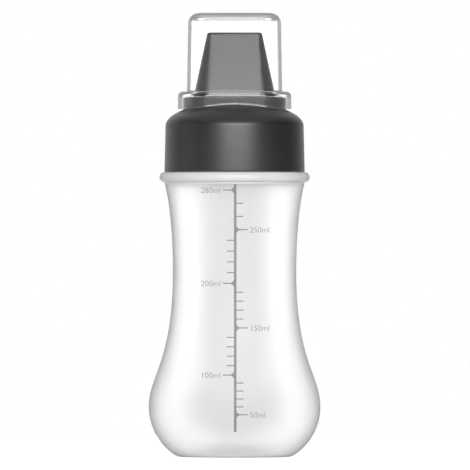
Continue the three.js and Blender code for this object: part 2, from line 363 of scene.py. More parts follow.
@dataclass(frozen=True)
class MilkyPolyethylene:
    """Natural blown polyethylene: light comes through it and the bead looks denser. A grey of painted
    shade darkens walls seen edge-on, the middle of a wall seen face-on and the inner floor seen aslant.

    The outline holds how far a wall has turned from the eye where its painted shade starts, where it
    is full, and how much grey is mixed in there. A wall seen face-on has painted shade of its own
    within a reach.
    """

    name: str = "milky_polyethylene"
    milk_thin: Colour = (0.985, 0.988, 0.99)
    milk_thick: Colour = (0.995, 0.997, 1.0)
    # Grey of the painted shade on edge-on walls, the face-on middle and the inner floor.
    edge: Colour = (0.33, 0.335, 0.34)
    bead: Colour = (0.84, 0.845, 0.85)
    cloud: Grain = Grain(55, 0.35, 1.0)
    streaks: Grain = Grain(260, 0.06)
    peel: Grain = Grain(1400)
    streak_depth: float = 0.010 * MM
    peel_depth: float = 0.005 * MM
    gloss: float = 0.33
    gloss_spread: float = 0.05
    edge_gloss: float = 0.6
    ior: float = 1.3
    clearness: float = 0.94
    outline: Triple = (0.46, 0.98, 0.66)
    # Reach and depth of the painted shade in the middle of a wall seen face-on.
    painted_face_on_shade: Span = (0.26, 0.31)
    span_blur: float = 0.4 * MM
    bead_span: Span = (113.7 * MM, 118.6 * MM)
    bead_share: float = 0.7
    crease_span: Span = (113.7 * MM, 115.6 * MM)
    crease_light: float = 0.6
    # Painted shade on the inner floor round the punt, where it is seen aslant.
    floor_rim: Span = (15.0 * MM, 18.0 * MM)
    floor_turn: Span = (0.52, 0.80)
    painted_floor_shade: float = 0.7

    def build(self) -> bpy.types.Material:
        """Builds the material.

        Returns:
            The material.
        """
        material, recipe = new_material(self.name)
        cloud, streaks, peel = map(recipe.noise, (self.cloud, self.streaks, self.peel))
        relief = recipe.bump(peel, self.peel_depth, recipe.bump(streaks, self.streak_depth))
        gloss = self.gloss + self.gloss_spread * (peel - 0.5)
        milk = recipe.plastic(
            {
                "Base Color": recipe.blend(cloud, self.milk_thin, self.milk_thick),
                "Roughness": gloss,
                "IOR": self.ior,
                "Transmission Weight": self.clearness,
                "Normal": relief,
            }
        )
        # Painted shade: a dull grey, mixed in where the milky wall should look dark.
        rim = recipe.plastic(
            {
                "Base Color": (*self.edge, 1.0),
                "Roughness": self.edge_gloss,
                "Specular IOR Level": 0.0,
                "Normal": relief,
            }
        )
        solid = recipe.plastic(
            {
                "Base Color": recipe.blend(cloud, self.bead, self.milk_thin),
                "Roughness": gloss,
                "Normal": relief,
            }
        )
        turned = recipe.facing()
        outside = recipe.outer_skin()
        start, full, share = self.outline
        # Painted shade on walls seen edge-on, lighter in the crease under the bead.
        in_crease = recipe.band("Z", self.crease_span, self.span_blur)
        outline = share * turned.step(start, full) * outside * (1 - self.crease_light * in_crease)
        # Painted shade in the middle of a wall seen face-on.
        reach, depth = self.painted_face_on_shade
        centre = depth * (1 - turned.step(0.0, reach)) * outside
        # Painted shade on the inner floor round the punt, where it is seen aslant.
        inner, outer = self.floor_rim
        across = recipe.place("X") ** 2 + recipe.place("Y") ** 2
        floor = self.painted_floor_shade * (1 - across.step(inner**2, outer**2)) * (1 - outside)
        floor = floor * turned.step(*self.floor_turn)
        # Mixes the grey of the painted shade into the milk.
        shaded = recipe.mix(outline.at_least(centre).at_least(floor), milk, rim)
        on_bead = self.bead_share * recipe.band("Z", self.bead_span, self.span_blur)
        recipe.surface(recipe.mix(on_bead * (1 - outline), shaded, solid))
        return material


@dataclass(frozen=True)
class ClearPolypropylene:
    """Clear moulded plastic, with painted shade where its wall is seen edge-on and inside the rounded
    roof, and a painted band of reflection and shade along its step.

    Painted shade greys a wall once it has turned far enough from the eye, and that turn differs
    between the upright walls, the rounded roof and the flat of the roof. A patch lies between two
    levels, and within a reach of the middle along X.
    """

    name: str = "clear_polypropylene"
    tint: Colour = (0.985, 0.988, 0.99)
    haze: Colour = (0.97, 0.973, 0.976)
    # Grey of the painted shade on edge-on walls and inside the roof's rounded corner.
    edge: Colour = (0.38, 0.382, 0.385)
    # Grey of a painted band of reflection and shade along the step.
    painted_step_grey: Colour = (0.62, 0.62, 0.63)
    flow: Grain = Grain(70, 0.4, 1.0)
    ripple_depth: float = 0.004 * MM
    gloss: float = 0.04
    gloss_spread: float = 0.02
    edge_gloss: float = 0.4
    edge_shine: float = 0.1
    painted_step_gloss: float = 0.35
    ior: float = 1.49
    wall_turn: float = 0.47
    roof_turn: float = 0.12
    flat_turn: float = 0.62
    turn_blur: float = 0.05
    painted_edge_shade: float = 0.85
    roof_level: float = 182.6 * MM
    roof_blur: float = 0.7 * MM
    flat_level: float = 184.9 * MM
    flat_blur: float = 0.1 * MM
    corner_span: Span = (181.3 * MM, 182.7 * MM)
    corner_blur: float = 0.3 * MM
    corner_reach: float = 13.0 * MM
    corner_fade: float = 1.5 * MM
    painted_corner_shade: float = 0.42
    step_span: Span = (150.2 * MM, 152.2 * MM)
    step_blur: float = 0.1 * MM
    step_reach: float = 10.8 * MM
    step_fade: float = 0.6 * MM
    painted_step_share: float = 0.5

    def build(self) -> bpy.types.Material:
        """Builds the material.

        Returns:
            The material.
        """
        material, recipe = new_material(self.name)
        flow = recipe.noise(self.flow)
        relief = recipe.bump(flow, self.ripple_depth)
        clear = recipe.plastic(
            {
                "Base Color": recipe.blend(flow, self.haze, self.tint),
                "Roughness": self.gloss + self.gloss_spread * flow,
                "IOR": self.ior,
                "Transmission Weight": 1.0,
                "Normal": relief,
            }
        )
        # Painted shade: a dull grey, mixed in where the clear wall should look dark.
        rim = recipe.plastic(
            {
                "Base Color": (*self.edge, 1.0),
                "Roughness": self.edge_gloss,
                "Specular IOR Level": self.edge_shine,
                "Normal": relief,
            }
        )
        # Painted reflection and shade along the step, a grey in place of the light the step catches.
        painted_step = recipe.plastic(
            {
                "Base Color": (*self.painted_step_grey, 1.0),
                "Roughness": self.painted_step_gloss,
                "Normal": relief,
            }
        )
        # Painted shade on walls seen edge-on and inside the rounded roof corner.
        on_roof = recipe.past("Z", self.roof_level, self.roof_blur)
        on_flat = recipe.past("Z", self.flat_level, self.flat_blur)
        start = self.wall_turn + (self.roof_turn - self.wall_turn) * on_roof
        start = start + (self.flat_turn - self.roof_turn) * on_flat
        edge_on = recipe.facing().step(start - self.turn_blur, start + self.turn_blur)
        outside = recipe.outer_skin()
        reach = (-self.corner_reach, self.corner_reach)
        in_corner = recipe.band("Z", self.corner_span, self.corner_blur) * (1 - outside)
        in_corner = in_corner * recipe.band("X", reach, self.corner_fade)
        grey = self.painted_edge_shade * edge_on * outside + self.painted_corner_shade * in_corner
        # Band along the step that takes the painted reflection and shade.
        reach = (-self.step_reach, self.step_reach)
        on_step = recipe.band("Z", self.step_span, self.step_blur)
        on_step = on_step * recipe.band("X", reach, self.step_fade)
        seen = recipe.mix(grey, clear, rim)
        recipe.surface(recipe.mix(self.painted_step_share * on_step, seen, painted_step))
        return material


@dataclass(frozen=True)
class OpaqueFinish:
    """Opaque finish: two close shades in patches, an uneven gloss and a fine relief."""

    name: str = "opaque"
    low: Colour = (0.5, 0.5, 0.5)
    high: Colour = (0.5, 0.5, 0.5)
    patches: Grain = Grain(90)
    grain: Grain = Grain(90)
    depth: float = 0.02 * MM
    gloss: float = 0.5
    gloss_by_patch: float = 0.0
    gloss_by_grain: float = 0.0
    sockets: Mapping[str, float] = field(default_factory=dict)

    def build(self) -> bpy.types.Material:
        """Builds the material.

        Returns:
            The material.
        """
        material, recipe = new_material(self.name)
        patches, grain = recipe.noise(self.patches), recipe.noise(self.grain)
        gloss = self.gloss + self.gloss_by_patch * (patches - 0.5)
        gloss = gloss + self.gloss_by_grain * (grain - 0.5)
        varied = {
            "Base Color": recipe.blend(patches, self.low, self.high),
            "Roughness": gloss,
            "Normal": recipe.bump(grain, self.depth),
        }
        recipe.surface(recipe.plastic({**varied, **self.sockets}))
        return material


@dataclass(frozen=True)
class DarkGrain(OpaqueFinish):
    """Charcoal moulded plastic with a fine matt grain."""

    name: str = "charcoal_grain"
    low: Colour = (0.0065, 0.0065, 0.007)
    high: Colour = (0.010, 0.010, 0.0105)
    patches: Grain = Grain(90)
    grain: Grain = Grain(3600)
    gloss: float = 0.40
    gloss_by_patch: float = 0.08
    gloss_by_grain: float = 0.06
    sockets: Mapping[str, float] = field(
        default_factory=lambda: {"IOR": 1.5, "Specular IOR Level": 1.0}
    )


@dataclass(frozen=True)
class SealSilicone(OpaqueFinish):
    """Soft off-white silicone rubber."""

    name: str = "seal_silicone"
    low: Colour = (0.62, 0.62, 0.59)
    high: Colour = (0.72, 0.72, 0.69)
    patches: Grain = Grain(500, detail=3.0)
    grain: Grain = Grain(500, detail=3.0)
    gloss_by_patch: float = 0.15
    sockets: Mapping[str, float] = field(
        default_factory=lambda: {
            "IOR": 1.42,
            "Subsurface Weight": 0.2,
            "Subsurface Scale": 1.0 * MM,
        }
    )


@dataclass(frozen=True)
class ScaleInk(OpaqueFinish):
    """Grey screen-printing ink, a little uneven."""

    name: str = "scale_ink"
    low: Colour = (0.28, 0.28, 0.285)
    high: Colour = (0.20, 0.20, 0.205)
    patches: Grain = Grain(2600)
    grain: Grain = Grain(2600)
    depth: float = 0.004 * MM
    gloss: float = 0.55
    gloss_by_patch: float = 0.1


# Modelling helpers, all in millimetres


class Trace:
    """A profile of (radius, height) points, drawn stretch by stretch."""

    def __init__(self, radius: float, height: float) -> None:
        """Starts at a point."""
        self.points: list[Point] = [(radius, height)]

    def line(self, radius: float, height: float) -> "Trace":
        """Goes straight to a point."""
        self.points.append((radius, height))
        return self

    def curve(self, leave: Point, arrive: Point, end: Point, steps: int) -> "Trace":
        """Follows a cubic curve.

        Args:
            leave: handle on the side of the present point.
            arrive: handle on the side of the end.
            end: where the curve ends.
            steps: its number of stretches.

        Returns:
            The trace itself.
        """
        corners = [Vector((*point, 0)) for point in (self.points[-1], leave, arrive, end)]
        drawn = interpolate_bezier(*corners, steps + 1)
        self.points.extend((point.x, point.y) for point in drawn[1:])
        return self

    def corner(self, at: Point, end: Point, steps: int) -> "Trace":
        """Rounds a corner.

        Args:
            at: where the two straight stretches would meet.
            end: where the rounding ends.
            steps: its number of stretches.

        Returns:
            The trace itself.
        """
        start = self.points[-1]
        leave, arrive = (
            tuple(here + CIRCLE_HANDLE * (corner - here) for here, corner in zip(point, at))
            for point in (start, end)
        )
        return self.curve(leave, arrive, end, steps)

    def arc(self, centre: Point, radius: float, start: float, end: float, steps: int) -> "Trace":
        """Follows a circle, from one angle to another.

        Args:
            centre: middle of the circle.
            radius: its radius.
            start: first angle, in degrees from straight outwards.
            end: last angle.
            steps: its number of stretches.

        Returns:
            The trace itself.
        """
        for i in range(steps + 1):
            angle = math.radians(start + (end - start) * i / steps)
            across, up = radius * math.cos(angle), radius * math.sin(angle)
            self.points.append((centre[0] + across, centre[1] + up))
        return self


def inset(points: Sequence[Point], wall: float) -> list[Point]:
    """Moves a profile sideways, to the left of its direction of travel.

    Args:
        points: the profile, from the axis outwards.
        wall: how far it moves.

    Returns:
        The moved profile.
    """
    moved = []
    for i, (radius, height) in enumerate(points):
        before = points[max(i - 1, 0)]
        after = points[min(i + 1, len(points) - 1)]
        along = Vector((after[0] - before[0], after[1] - before[1])).normalized()
        new_radius = 0.0 if i == 0 else radius - along.y * wall
        moved.append((new_radius, height + along.x * wall))
    return moved


def verts_of(edges: Iterable[BMEdge]) -> set[BMVert]:
    """Points at the ends of edges."""
    return {vert for edge in edges for vert in edge.verts}


def new_object(name: str, data: bpy.types.ID) -> bpy.types.Object:
    """Makes an object at the origin and links it to the scene."""
    made = bpy.data.objects.new(name, data)
    bpy.context.scene.collection.objects.link(made)
    return made


def shade(mesh: bpy.types.Mesh, smooth_below: float) -> None:
    """Shades faces as one where they meet at less than this many degrees."""
    mesh.shade_smooth()
    mesh.set_sharp_from_angle(angle=math.radians(smooth_below))


class Shape:
    """A mesh in the making, with the modelling operators the pieces share."""

    def __init__(self) -> None:
        """Starts empty."""
        self.bm = bmesh.new()
        self.skin = self.bm.verts.layers.float.new(OUTER_SKIN)

    def polyline(self, points: Iterable[Point]) -> list[BMEdge]:
        """Draws a profile in the plane of X and Z.

        Args:
            points: its (radius, height) points.

        Returns:
            Its edges.
        """
        verts = [
            bmesh.ops.create_vert(self.bm, co=(radius, 0, height))["vert"][0]
            for radius, height in points
        ]
        return [self.bm.edges.new(pair) for pair in zip(verts, verts[1:])]

    def spin(
        self,
        geom: Sequence[Union[BMVert, BMEdge]],
        angle: float,
        steps: int,
        centre: Triple = (0, 0, 0),
        lift: float = 0.0,
        merge: bool = False,
    ) -> list[Union[BMVert, BMEdge]]:
        """Turns points and edges about an upright axis.

        Args:
            geom: what is turned.
            angle: how far, in radians.
            steps: its number of steps.
            centre: a point of the axis.
            lift: how far each step climbs.
            merge: joins the last step to the first.

        Returns:
            What the last step made.
        """
        spun = bmesh.ops.spin(
            self.bm,
            geom=geom,
            cent=centre,
            axis=(0, 0, 1),
            dvec=(0, 0, lift),
            angle=angle,
            steps=steps,
            use_merge=merge,
            use_duplicate=False,
        )
        return spun["geom_last"]

    def revolve(self, points: Iterable[Point], steps: int, outside: int = 0) -> None:
        """Turns a profile all the way round the axis.

        Args:
            points: the profile.
            steps: facets in a full turn.
            outside: how many of its first points lie on the outside of a wall.
        """
        edges = self.polyline(points)
        verts = list(dict.fromkeys(vert for edge in edges for vert in edge.verts))
        self.mark_outside(verts[:outside])
        self.spin([*verts, *edges], math.tau, steps, merge=True)
        self.weld()

    def weld(self) -> None:
        """Merges doubles and turns all faces outwards."""
        bmesh.ops.remove_doubles(self.bm, verts=self.bm.verts, dist=WELD)
        bmesh.ops.dissolve_degenerate(self.bm, edges=self.bm.edges, dist=WELD)
        bmesh.ops.recalc_face_normals(self.bm, faces=self.bm.faces)

    def mark_outside(self, verts: Iterable[BMVert]) -> None:
        """Marks points that lie on the outside of a wall."""
        for vert in verts:
            vert[self.skin] = 1.0

    def bridge(self, first: Sequence[BMEdge], second: Sequence[BMEdge]) -> None:
        """Joins two loops of edges with a band of faces."""
        bmesh.ops.bridge_loops(self.bm, edges=[*first, *second])

    def to_object(self, name: str, smooth_below: float = 35.0) -> bpy.types.Object:
        """Finishes the mesh as an object in metres, at the origin.

        Args:
            name: the object's name.
            smooth_below: faces that meet at less than this many degrees are shaded as one.

        Returns:
            The object.
        """
        bmesh.ops.scale(self.bm, vec=(MM, MM, MM), verts=self.bm.verts)
        mesh = bpy.data.meshes.new(name)
        self.bm.to_mesh(mesh)
        self.bm.free()
        shade(mesh, smooth_below)
        return new_object(name, mesh)


def merge_solids(base: bpy.types.Object, extra: bpy.types.Object, smooth_below: float) -> None:
    """Fuses one closed object into another, and removes the first.

    Args:
        base: the object that is kept.
        extra: the object that is fused into it.
        smooth_below: faces that meet at less than this many degrees are shaded as one.
    """
    name = base.data.name
    modifier = base.modifiers.new("fuse", "BOOLEAN")
    modifier.operation = "UNION"
    modifier.solver = "EXACT"
    modifier.object = extra
    graph = bpy.context.evaluated_depsgraph_get()
    fused = bpy.data.meshes.new_from_object(base.evaluated_get(graph))
    base.modifiers.clear()
    old = base.data
    base.data = fused
    bpy.data.meshes.remove(old)
    fused.name = name
    bpy.data.objects.remove(extra)
    shade(fused, smooth_below)


@dataclass
class Ellipse:
    """Section of a dome: a quarter ellipse that turns round the axis."""

    radius: float
    rise: float
    level: float

    def height(self, radius: float) -> float:
        """Level of the dome at a distance from the axis."""
        share = min(radius / self.radius, 1.0)
        return self.level + self.rise * math.sqrt(1 - share * share)

    def grown(self, gap: float) -> "Ellipse":
        """The same dome, larger by a gap."""
        return Ellipse(self.radius + gap, self.rise + gap, self.level)


@dataclass
class Ring:
    """Slot outline at one level: two half circles joined by straight sides along X."""

    half_straight: float
    end_radius: float
    level: float


class SlotWall:
    """A wall grown ring by ring from a slot outline, which may open out to a round one."""

    arc_steps = 28
    side_cuts = 23
    hold = 0.3
    most_held = 0.3

    def __init__(self, shape: Shape, start: Ring, outside: bool) -> None:
        """Draws the first ring.

        Args:
            shape: the mesh that the wall belongs to.
            start: the first ring.
            outside: whether this is the outside of the piece.
        """
        self.shape = shape
        self.now = start
        self.outside = outside
        ends = [*self._half_circle(start, 1), *self._half_circle(start, -1)]
        sides = [shape.bm.edges.new(ends[1:3]), shape.bm.edges.new((ends[3], ends[0]))]
        bmesh.ops.subdivide_edges(shape.bm, edges=sides, cuts=self.side_cuts)
        self.edges = self._loop_from(sides[0])
        self.first = list(self.edges)
        if outside:
            shape.mark_outside(verts_of(self.edges))

    def _half_circle(self, ring: Ring, side: int) -> tuple[BMVert, BMVert]:
        """Draws one end of the slot.

        Args:
            ring: the slot's sizes.
            side: 1 for the end at +X and -1 for the other.

        Returns:
            Its first and last points.
        """
        middle = (side * ring.half_straight, 0, ring.level)
        start = (middle[0], -side * ring.end_radius, ring.level)
        first = bmesh.ops.create_vert(self.shape.bm, co=start)["vert"][0]
        turned = self.shape.spin([first], math.pi, self.arc_steps, middle)
        return first, next(item for item in turned if isinstance(item, BMVert))

    @staticmethod
    def _loop_from(start: BMEdge) -> list[BMEdge]:
        """Walks a closed loop of edges that has no faces yet.

        Args:
            start: an edge of it.

        Returns:
            Its edges.
        """
        loop = [start]
        here = start.verts[1]
        while here != start.verts[0]:
            loop.append(next(edge for edge in here.link_edges if edge != loop[-1]))
            here = loop[-1].other_vert(here)
        return loop

    def _grow(self, place: Callable[[Vector], Vector]) -> None:
        """Extrudes the newest ring and puts each new point in its place.

        Args:
            place: gives a point's new place from its old one.
        """
        grown = bmesh.ops.extrude_edge_only(self.shape.bm, edges=self.edges)["geom"]
        fresh = {item for item in grown if isinstance(item, BMVert)}
        made = [item for item in grown if isinstance(item, BMEdge)]
        self.edges = [edge for edge in made if fresh.issuperset(edge.verts)]
        for vert in fresh:
            vert.co = place(vert.co)
        if self.outside:
            self.shape.mark_outside(fresh)

    def to_slot(self, half_straight: float, end_radius: float, level: float) -> None:
        """Grows to another slot outline.

        Args:
            half_straight: half the length of its straight sides.
            end_radius: radius of its ends.
            level: its height.
        """
        old = self.now
        scale = end_radius / old.end_radius

        def place(co: Vector) -> Vector:
            """Stretches the straight sides and scales the ends."""
            side = math.copysign(1, co.x)
            beyond = abs(co.x) - old.half_straight
            if beyond > -WELD:
                return Vector((side * (half_straight + beyond * scale), co.y * scale, level))
            x = co.x * half_straight / old.half_straight
            return Vector((x, math.copysign(end_radius, co.y), level))

        self.now = Ring(half_straight, end_radius, level)
        self._grow(place)

    def flat_to(self, half_straight: float, end_radius: float, level: float) -> None:
        """Grows straight to another slot outline, with close rings that keep the wall flat.

        Args:
            half_straight: half the length of its straight sides.
            end_radius: radius of its ends.
            level: its height.
        """
        start = self.now
        length = math.hypot(end_radius - start.end_radius, level - start.level)
        share = min(self.hold / length, self.most_held)
        for part in (share, 1 - share, 1):
            self.to_slot(
                start.half_straight + (half_straight - start.half_straight) * part,
                start.end_radius + (end_radius - start.end_radius) * part,
                start.level + (level - start.level) * part,
            )

    def rounded(self, inward: float, rise: float, steps: int, tuck: bool = True) -> None:
        """Grows round an edge, in a quarter circle or ellipse.

        Args:
            inward: how far the outline draws in, or out where negative.
            rise: how far it climbs, or drops where negative.
            steps: its facets.
            tuck: climbs first and draws in last, as over an outer edge.
        """
        start = self.now
        for i in range(1, steps + 1):
            angle = math.pi / 2 * i / steps
            early, late = math.sin(angle), 1 - math.cos(angle)
            up, away = (early, late) if tuck else (late, early)
            radius = start.end_radius - inward * away
            self.to_slot(start.half_straight, radius, start.level + rise * up)

    def to_dome(self, dome: Ellipse) -> None:
        """Grows straight up or down to a dome."""
        self._grow(lambda co: Vector((co.x, co.y, dome.height(co.xy.length))))

    def along_dome(self, dome: Ellipse, radius: float, steps: int) -> None:
        """Grows over a dome until the outline is round.

        Args:
            dome: the dome it follows.
            radius: radius of the last ring.
            steps: its number of rings.
        """
        last = math.acos(min(radius / dome.radius, 1.0))
        for i in range(steps):
            share = 1 / (steps - i)

            def place(co: Vector) -> Vector:
                """Moves a point its share of the way down the dome."""
                now = math.acos(min(co.xy.length / dome.radius, 1.0))
                turned = now + (last - now) * share
                flat = co.xy.normalized() * dome.radius * math.cos(turned)
                return Vector((flat.x, flat.y, dome.level + dome.rise * math.sin(turned)))

            self._grow(place)

    def to_round(self, radius: float, level: float) -> None:
        """Grows from one round ring to another, of a given radius and level."""
        self._grow(lambda co: Vector((*(co.xy.normalized() * radius), level)))

    def close(self) -> None:
        """Fills the newest ring with one flat face."""
        bmesh.ops.contextual_create(self.shape.bm, geom=self.edges)


@dataclass
class ThreadRidge:
    """Helical ridge of a screw thread, single start and right-handed."""

    root_radius: float
    crest_radius: float
    start_level: float
    start_turn: float
    turns: float
    lead: float = 6.0
    root_width: float = 2.4
    crest_width: float = 1.0
    run_out: float = 0.07
    least_height: float = 0.02
    bite: float = 0.3
    steps_in_turn: int = 96

    def build(self, name: str) -> bpy.types.Object:
        """Builds the ridge.

        Args:
            name: name of the object.

        Returns:
            A closed object, to be fused into its wall.
        """
        shape = Shape()
        outward = math.copysign(1, self.crest_radius - self.root_radius)
        root = self.root_radius - outward * self.bite
        low, high = self.root_width / 2, self.crest_width / 2
        level = self.start_level + self.lead * self.start_turn
        corners = [
            (root, level - low),
            (self.crest_radius, level - high),
            (self.crest_radius, level + high),
            (root, level + low),
        ]
        edges = shape.polyline(corners)
        edges.append(shape.bm.edges.new((edges[-1].verts[1], edges[0].verts[0])))
        bmesh.ops.rotate(
            shape.bm,
            verts=shape.bm.verts,
            cent=(0, 0, 0),
            matrix=Matrix.Rotation(math.tau * self.start_turn, 3, "Z"),
        )
        steps = round(self.turns * self.steps_in_turn)
        geom = [*shape.bm.verts, *edges]
        climb = self.lead * self.turns / steps
        turned = shape.spin(geom, math.tau * self.turns, steps, lift=climb)
        last = [item for item in turned if isinstance(item, BMEdge)]
        bmesh.ops.contextual_create(shape.bm, geom=edges)
        bmesh.ops.contextual_create(shape.bm, geom=last)
        self._taper(shape)
        shape.weld()
        return shape.to_object(name)

    def _taper(self, shape: Shape) -> None:
        """Sinks both ends of the ridge back into its wall."""
        middle = (self.root_radius + self.crest_radius) / 2
        outward = self.crest_radius > self.root_radius
        for vert in shape.bm.verts:
            radius = vert.co.xy.length
            if (radius > middle) != outward:
                continue
            angle = math.atan2(vert.co.y, vert.co.x) / math.tau
            climbed = (vert.co.z - self.start_level) / self.lead
            turn = angle + round(climbed - angle) - self.start_turn
            from_end = min(turn, self.turns - turn) / self.run_out
            share = max(math.sin(math.pi / 2 * min(max(from_end, 0), 1)), self.least_height)
            wanted = self.root_radius + (self.crest_radius - self.root_radius) * share
            vert.co.xy = vert.co.xy * (wanted / radius)


# Sub-assemblies


@dataclass
class Fit:
    """Levels and sizes that the pieces share, taken from the bottle up."""

    shoulder: float = 114.4
    bead: float = 4.3
    neck_radius: float = 25.4
    neck_wall: float = 1.3
    neck_height: float = 18.7
    seat_gap: float = 0.3
    foot_gap: float = 0.1
    seal: float = 1.6
    thread_depth: float = 1.15
    thread_gap: float = 0.35
    thread_above_bead: float = 3.4
    cap_wall: float = 1.9
    plinth_half_straight: float = 10.0
    plinth_radius: float = 11.5
    dome_rise: float = 10.1
    dome_drop: float = 1.7
    plinth_rise: float = 1.8
    nozzle_height: float = 27.1
    nozzle_radius: float = 7.05

    @property
    def bead_top(self) -> float:
        """Top of the round bead under the cap."""
        return self.shoulder + self.bead

    @property
    def lip(self) -> float:
        """Top of the neck."""
        return self.bead_top + self.neck_height

    @property
    def cap_foot(self) -> float:
        """Lower edge of the cap."""
        return self.bead_top + self.foot_gap

    @property
    def seat(self) -> float:
        """Face in the cap that presses the sealing ring down."""
        return self.lip + 2 * self.seat_gap + self.seal

    @property
    def cap_bore(self) -> float:
        """Radius inside the cap's threaded wall."""
        return self.neck_radius + self.thread_depth + self.thread_gap

    @property
    def dome(self) -> Ellipse:
        """Outside of the cap's dome."""
        radius = self.cap_bore + self.cap_wall
        return Ellipse(radius, self.dome_rise, self.seat - self.dome_drop)

    @property
    def plinth_top(self) -> float:
        """Flat that the clear cover's ledge rests on."""
        return self.dome.level + self.dome_rise + self.plinth_rise

    @property
    def nozzle_top(self) -> float:
        """Tip of the nozzle."""
        return self.plinth_top + self.nozzle_height


@dataclass
class Piece:
    """A finished object with its place in the model."""

    made: bpy.types.Object
    body: Body
    slot: Slot
    replaced: Optional[str] = None

    def place(self, material: bpy.types.Material) -> None:
        """Gives the piece its finish and lets it ride on its body.

        Args:
            material: its finish.
        """
        self.made.data.materials.clear()
        self.made.data.materials.append(material)
        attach(self.made, self.body.value)
        if self.replaced:
            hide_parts(self.replaced)
        faces = len(self.made.data.polygons)
        log.info("%s rides on %s with %d faces", self.made.name, self.body.value, faces)


@dataclass
class BottleBody:
    """Blown body: punt, heel, belly, waist, shoulder bead, threaded neck and open mouth.

    A handle is how far a curve leaves or reaches a point along its tangent. Those of the punt are
    shares of the inner foot's radius and of the punt's depth.
    """

    fit: Fit
    wall: float = 1.0
    foot_radius: float = 22.4
    foot_ring: float = 3.4
    foot_break: Point = (0.4, 0.25)
    foot_round: float = 0.5
    punt_depth: float = 3.7
    punt_leave: Point = (0.4, 1.0)
    punt_arrive: Point = (0.74, 0.66)
    heel: Point = (25.2, 1.0)
    heel_angle: float = 31.0
    heel_handle: float = 4.4
    belly: Point = (35.76, 20.8)
    belly_handles: Span = (10.4, 13.6)
    waist: Point = (25.7, 78.0)
    waist_handles: Span = (39.0, 2.0)
    shoulder_radius: float = 29.25
    shoulder_flare: float = 15.0
    shoulder_handle: float = 13.2
    bead_proud: float = 2.05
    bead_arc: Span = (-76, 90)
    neck_fillet: float = 0.8
    lip_round: float = 0.45
    throat_drop: float = 5.0
    thread_turns: float = 1.75
    smooth_below: float = 35
    segments: int = 144

    def outside(self) -> Trace:
        """Draws the outline from the middle of the punt to the shoulder.

        Returns:
            The outline.
        """
        angle = math.radians(self.heel_angle)
        heel_r, heel_z = self.heel
        belly_r, belly_z = self.belly
        waist_r, waist_z = self.waist
        below_belly, above_belly = self.belly_handles
        below_waist, above_waist = self.waist_handles
        inner_foot = self.foot_radius - self.foot_ring
        flare = math.tan(math.radians(self.shoulder_flare))
        top, drop = self.fit.shoulder, self.shoulder_handle
        trace = Trace(0, self.punt_depth)
        leave, arrive = (
            (inner_foot * across, self.punt_depth * up)
            for across, up in (self.punt_leave, self.punt_arrive)
        )
        foot_break = (inner_foot - self.foot_break[0], self.foot_break[1])
        trace.curve(leave, arrive, foot_break, steps=12)
        trace.corner((inner_foot, 0), (inner_foot + self.foot_round, 0), steps=2)
        trace.line(self.foot_radius, 0)
        trace.corner((heel_r - heel_z / math.tan(angle), 0), (heel_r, heel_z), steps=4)
        across, up = self.heel_handle * math.cos(angle), self.heel_handle * math.sin(angle)
        leave, arrive = (heel_r + across, heel_z + up), (belly_r, belly_z - below_belly)
        trace.curve(leave, arrive, (belly_r, belly_z), steps=24)
        leave, arrive = (belly_r, belly_z + above_belly), (waist_r, waist_z - below_waist)
        trace.curve(leave, arrive, (waist_r, waist_z), steps=36)
        leave, arrive = (waist_r, waist_z + above_waist), (self.shoulder_radius - drop * flare, top - drop)
        trace.curve(leave, arrive, (self.shoulder_radius, top), steps=20)
        return trace

    def profile(self) -> tuple[list[Point], int]:
        """Draws the whole section, from the axis under the foot to the axis inside.

        Returns:
            The section's points, and how many of the first ones lie outside.
        """
        fit = self.fit
        trace = self.outside()
        inside = inset(trace.points, self.wall)
        bead = fit.bead / 2
        middle = (self.shoulder_radius + self.bead_proud - bead, fit.shoulder + bead)
        trace.arc(middle, bead, *self.bead_arc, steps=18)
        neck, bore = fit.neck_radius, fit.neck_radius - fit.neck_wall
        fillet, soft = self.neck_fillet, self.lip_round
        trace.line(neck + fillet, fit.bead_top)
        trace.corner((neck, fit.bead_top), (neck, fit.bead_top + fillet), steps=4)
        outside = len(trace.points)
        trace.line(neck, fit.lip - soft)
        trace.corner((neck, fit.lip), (neck - soft, fit.lip), steps=4)
        trace.line(bore + soft, fit.lip)
        trace.corner((bore, fit.lip), (bore, fit.lip - soft), steps=4)
        shoulder_r, shoulder_z = inside[-1]
        half = self.throat_drop / 2
        trace.line(bore, shoulder_z + 2 * half)
        leave, arrive = (bore, shoulder_z + half), (shoulder_r, shoulder_z + half)
        trace.curve(leave, arrive, (shoulder_r, shoulder_z), steps=8)
        return [*trace.points, *reversed(inside[:-1])], outside

    def build(self) -> Piece:
        """Builds the body with its thread.

        Returns:
            The piece.
        """
        fit = self.fit
        shape = Shape()
        section, outside = self.profile()
        shape.revolve(section, self.segments, outside)
        made = shape.to_object("milky_body")
        ridge = ThreadRidge(
            root_radius=fit.neck_radius,
            crest_radius=fit.neck_radius + fit.thread_depth,
            start_level=fit.bead_top + fit.thread_above_bead,
            start_turn=0.0,
            turns=self.thread_turns,
        )
        merge_solids(made, ridge.build("neck_thread"), self.smooth_below)
        return Piece(made, Body.BOTTLE, Slot.MILKY, "bottle_body")


